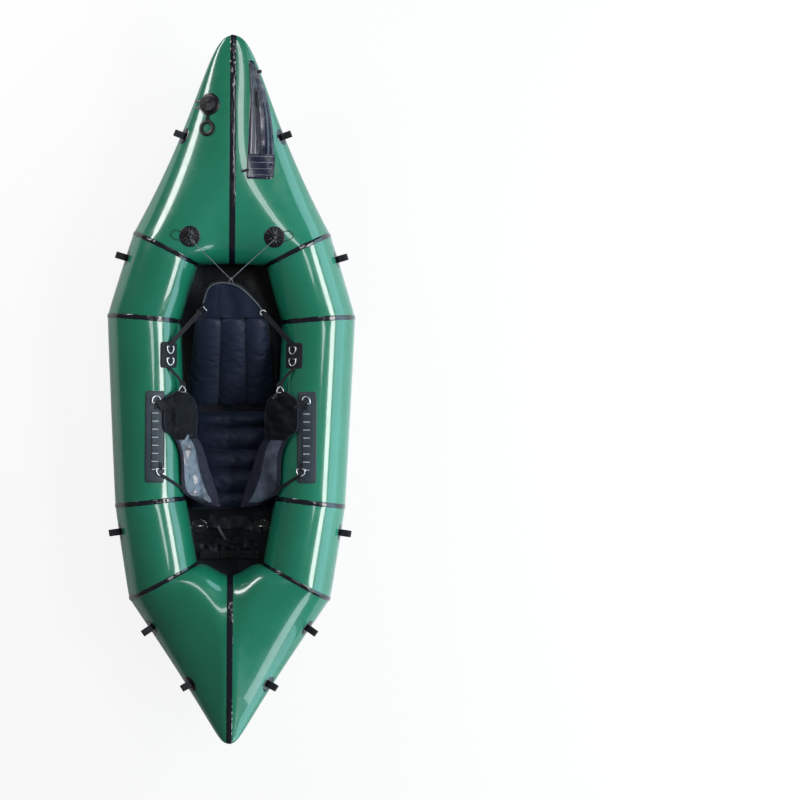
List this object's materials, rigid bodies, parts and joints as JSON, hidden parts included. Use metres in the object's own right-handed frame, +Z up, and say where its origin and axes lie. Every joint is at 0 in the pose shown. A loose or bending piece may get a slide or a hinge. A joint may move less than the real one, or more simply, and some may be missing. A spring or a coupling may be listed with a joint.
{
  "type": "packraft",
  "caption": "Inflatable packraft with pointed ends, a bonded floor, air seat and tilting backrest, thigh straps, tie-down loops, a cargo zip and an inflation valve",
  "frame": {"origin": "on the ground under the middle of the boat's bounding box", "axes": "+Y runs to the stern along the boat, +X to port across it, +Z up; the bow is at -Y"},
  "size_m": [0.9416, 2.6616, 0.3212],
  "materials": {
    "hull_green": "coated woven nylon, glossy, welded",
    "tape_black": "glossy coated seam tape",
    "floor_black": "thicker glossy coated floor fabric",
    "edge_grey": "satin grey edge tape",
    "cushion_navy": "dull coated woven nylon over air chambers",
    "webbing_black": "woven webbing and padded straps",
    "strip_grey": "woven webbing strip with bar tacks",
    "zip_navy": "glossy coated waterproof zip tape",
    "valve_black": "moulded satin plastic",
    "cord_grey": "thin braided cord",
    "ring_steel": "bright drawn wire"
  },
  "bodies": {
    "raft": {"adjust_strip_port": "strip_grey", "adjust_strip_starboard": "strip_grey", "backrest_cord": "cord_grey", "backrest_strap_port": "webbing_black", "backrest_strap_starboard": "webbing_black", "cord_anchor_port": "webbing_black", "cord_anchor_starboard": "webbing_black", "floor_edge_tape": "edge_grey", "floor_sheet": "floor_black", "foot_strap": "webbing_black", "hull_aft_port": "hull_green", "hull_aft_starboard": "hull_green", "hull_bow": "hull_green", "hull_fore_port": "hull_green", "hull_fore_starboard": "hull_green", "hull_mid_port": "hull_green", "hull_mid_starboard": "hull_green", "hull_stern": "hull_green", "seat": "cushion_navy", "side_patch_port": "webbing_black", "side_patch_starboard": "webbing_black", "tape_aft_port": "tape_black", "tape_aft_starboard": "tape_black", "tape_bow_centre": "tape_black", "tape_bow_port": "tape_black", "tape_bow_starboard": "tape_black", "tape_fore_port": "tape_black", "tape_fore_starboard": "tape_black", "tape_stern_centre": "tape_black", "tape_stern_port": "tape_black", "tape_stern_starboard": "tape_black", "valve_base": "valve_black", "zip_flap": "zip_navy"},
    "backrest": {"backrest": "cushion_navy"},
    "zip_slider": {"zip_slider": "ring_steel"},
    "valve_cap": {"valve_cap": "valve_black"},
    "valve_poppet": {"valve_poppet": "valve_black"},
    "valve_keeper": {"valve_keeper": "valve_black"},
    "tie_loop_aft_port": {"tie_loop_aft_port": "webbing_black"},
    "tie_loop_aft_starboard": {"tie_loop_aft_starboard": "webbing_black"},
    "tie_loop_bow_port": {"tie_loop_bow_port": "webbing_black"},
    "tie_loop_bow_starboard": {"tie_loop_bow_starboard": "webbing_black"},
    "tie_loop_fore_port": {"tie_loop_fore_port": "webbing_black"},
    "tie_loop_fore_starboard": {"tie_loop_fore_starboard": "webbing_black"},
    "tie_loop_nose_port": {"tie_loop_nose_port": "webbing_black"},
    "tie_loop_nose_starboard": {"tie_loop_nose_starboard": "webbing_black"},
    "tie_loop_stern_port": {"tie_loop_stern_port": "webbing_black"},
    "tie_loop_stern_starboard": {"tie_loop_stern_starboard": "webbing_black"},
    "thigh_strap_port": {"thigh_strap_port": "webbing_black"},
    "thigh_strap_starboard": {"thigh_strap_starboard": "webbing_black"},
    "floor_ring_port": {"floor_ring_port": "ring_steel"},
    "floor_ring_starboard": {"floor_ring_starboard": "ring_steel"},
    "patch_ring_aft_port": {"patch_ring_aft_port": "ring_steel"},
    "patch_ring_aft_starboard": {"patch_ring_aft_starboard": "ring_steel"},
    "patch_ring_fore_port": {"patch_ring_fore_port": "ring_steel"},
    "patch_ring_fore_starboard": {"patch_ring_fore_starboard": "ring_steel"},
    "strip_ring_aft_port": {"strip_ring_aft_port": "ring_steel"},
    "strip_ring_aft_starboard": {"strip_ring_aft_starboard": "ring_steel"},
    "strip_ring_fore_port": {"strip_ring_fore_port": "ring_steel"},
    "strip_ring_fore_starboard": {"strip_ring_fore_starboard": "ring_steel"}
  },
  "joints": [
    {"name": "backrest_tilt", "type": "hinge", "parent": "raft", "child": "backrest", "pos_m": [0, -0.04499, 0.03271], "axis": [1, 0, 0], "range_deg": [0, 40], "deforming": ["backrest_cord", "backrest_strap_starboard", "backrest_strap_port"]},
    {"name": "zip_slide", "type": "hinge", "parent": "raft", "child": "zip_slider", "pos_m": [1.98816, 1.29566, 5.94708], "axis": [-0.9458, -0.0549, 0.3201], "range_deg": [0, 2.51]},
    {"name": "valve_cap_turn", "type": "hinge", "parent": "raft", "child": "valve_cap", "pos_m": [-0.08968, 1.07065, 0.29729], "axis": [-0.3675, 0.05, 0.9287], "range_deg": [0, 90]},
    {"name": "valve_poppet_press", "type": "slide", "parent": "raft", "child": "valve_poppet", "axis": [-0.3675, 0.05, 0.9287], "range_m": [-0.004, 0], "stiffness_N_per_m": 200},
    {"name": "valve_keeper_lift", "type": "hinge", "parent": "raft", "child": "valve_keeper", "pos_m": [-0.09355, 1.03234, 0.30081], "axis": [-0.9385, 0.0638, -0.3394], "range_deg": [0, 95]},
    {"name": "tie_loop_aft_port_flex", "type": "hinge", "parent": "raft", "child": "tie_loop_aft_port", "pos_m": [0.40492, 0.49679, 0.20429], "axis": [0.2956, -0.9522, -0.0769], "range_deg": [-35, 35], "stiffness_Nm_per_rad": 0.05},
    {"name": "tie_loop_aft_starboard_flex", "type": "hinge", "parent": "raft", "child": "tie_loop_aft_starboard", "pos_m": [-0.40492, 0.49679, 0.20429], "axis": [-0.2956, -0.9522, -0.0769], "range_deg": [-35, 35], "stiffness_Nm_per_rad": 0.05},
    {"name": "tie_loop_bow_port_flex", "type": "hinge", "parent": "raft", "child": "tie_loop_bow_port", "pos_m": [0.30076, -0.90552, 0.22305], "axis": [-0.5822, -0.8089, 0.0821], "range_deg": [-35, 35], "stiffness_Nm_per_rad": 0.05},
    {"name": "tie_loop_bow_starboard_flex", "type": "hinge", "parent": "raft", "child": "tie_loop_bow_starboard", "pos_m": [-0.30076, -0.90552, 0.22305], "axis": [0.5822, -0.8089, 0.0821], "range_deg": [-35, 35], "stiffness_Nm_per_rad": 0.05},
    {"name": "tie_loop_fore_port_flex", "type": "hinge", "parent": "raft", "child": "tie_loop_fore_port", "pos_m": [0.42317, -0.54136, 0.19378], "axis": [-0.1571, -0.9851, 0.0705], "range_deg": [-35, 35], "stiffness_Nm_per_rad": 0.05},
    {"name": "tie_loop_fore_starboard_flex", "type": "hinge", "parent": "raft", "child": "tie_loop_fore_starboard", "pos_m": [-0.42317, -0.54136, 0.19378], "axis": [0.1571, -0.9851, 0.0705], "range_deg": [-35, 35], "stiffness_Nm_per_rad": 0.05},
    {"name": "tie_loop_nose_port_flex", "type": "hinge", "parent": "raft", "child": "tie_loop_nose_port", "pos_m": [0.15464, -1.11483, 0.25381], "axis": [-0.5383, -0.8283, 0.1552], "range_deg": [-35, 35], "stiffness_Nm_per_rad": 0.05},
    {"name": "tie_loop_nose_starboard_flex", "type": "hinge", "parent": "raft", "child": "tie_loop_nose_starboard", "pos_m": [-0.15464, -1.11483, 0.25381], "axis": [0.5383, -0.8283, 0.1552], "range_deg": [-35, 35], "stiffness_Nm_per_rad": 0.05},
    {"name": "tie_loop_stern_port_flex", "type": "hinge", "parent": "raft", "child": "tie_loop_stern_port", "pos_m": [0.19204, 0.95619, 0.25379], "axis": [-0.3782, 0.9168, 0.1286], "range_deg": [-35, 35], "stiffness_Nm_per_rad": 0.05},
    {"name": "tie_loop_stern_starboard_flex", "type": "hinge", "parent": "raft", "child": "tie_loop_stern_starboard", "pos_m": [-0.19204, 0.95619, 0.25379], "axis": [0.3782, 0.9168, 0.1286], "range_deg": [-35, 35], "stiffness_Nm_per_rad": 0.05},
    {"name": "thigh_strap_port_lift", "type": "hinge", "parent": "raft", "child": "thigh_strap_port", "pos_m": [0.26215, -0.18088, 0.27598], "axis": [0, 1, 0], "range_deg": [0, 60]},
    {"name": "thigh_strap_starboard_lift", "type": "hinge", "parent": "raft", "child": "thigh_strap_starboard", "pos_m": [-0.26215, -0.18088, 0.27598], "axis": [0, -1, 0], "range_deg": [0, 60]},
    {"name": "floor_ring_port_swing", "type": "hinge", "parent": "raft", "child": "floor_ring_port", "pos_m": [0.12082, -0.52269, 0.02674], "axis": [1, 0, 0], "range_deg": [-80, 80]},
    {"name": "floor_ring_starboard_swing", "type": "hinge", "parent": "raft", "child": "floor_ring_starboard", "pos_m": [-0.12082, -0.52269, 0.02674], "axis": [1, 0, 0], "range_deg": [-80, 80]},
    {"name": "patch_ring_aft_port_lift", "type": "hinge", "parent": "raft", "child": "patch_ring_aft_port", "pos_m": [0.22966, 0.1601, 0.24871], "axis": [-0.7266, 0, -0.6871], "range_deg": [0, 100]},
    {"name": "patch_ring_aft_starboard_lift", "type": "hinge", "parent": "raft", "child": "patch_ring_aft_starboard", "pos_m": [-0.22966, 0.1601, 0.24871], "axis": [-0.7266, 0, 0.6871], "range_deg": [0, 100]},
    {"name": "patch_ring_fore_port_lift", "type": "hinge", "parent": "raft", "child": "patch_ring_fore_port", "pos_m": [0.22972, 0.11542, 0.24998], "axis": [-0.7375, 0, -0.6753], "range_deg": [0, 100]},
    {"name": "patch_ring_fore_starboard_lift", "type": "hinge", "parent": "raft", "child": "patch_ring_fore_starboard", "pos_m": [-0.22972, 0.11542, 0.24998], "axis": [-0.7375, 0, 0.6753], "range_deg": [0, 100]},
    {"name": "strip_ring_aft_port_lift", "type": "hinge", "parent": "raft", "child": "strip_ring_aft_port", "pos_m": [0.28041, -0.05313, 0.28062], "axis": [0.9543, 0, 0.2989], "range_deg": [0, 140]},
    {"name": "strip_ring_aft_starboard_lift", "type": "hinge", "parent": "raft", "child": "strip_ring_aft_starboard", "pos_m": [-0.28041, -0.05313, 0.28062], "axis": [0.9543, 0, -0.2989], "range_deg": [0, 140]},
    {"name": "strip_ring_fore_port_lift", "type": "hinge", "parent": "raft", "child": "strip_ring_fore_port", "pos_m": [0.26308, -0.30052, 0.27796], "axis": [-0.9475, 0, -0.3198], "range_deg": [0, 140]},
    {"name": "strip_ring_fore_starboard_lift", "type": "hinge", "parent": "raft", "child": "strip_ring_fore_starboard", "pos_m": [-0.26308, -0.30052, 0.27796], "axis": [-0.9475, 0, 0.3198], "range_deg": [0, 140]}
  ]
}
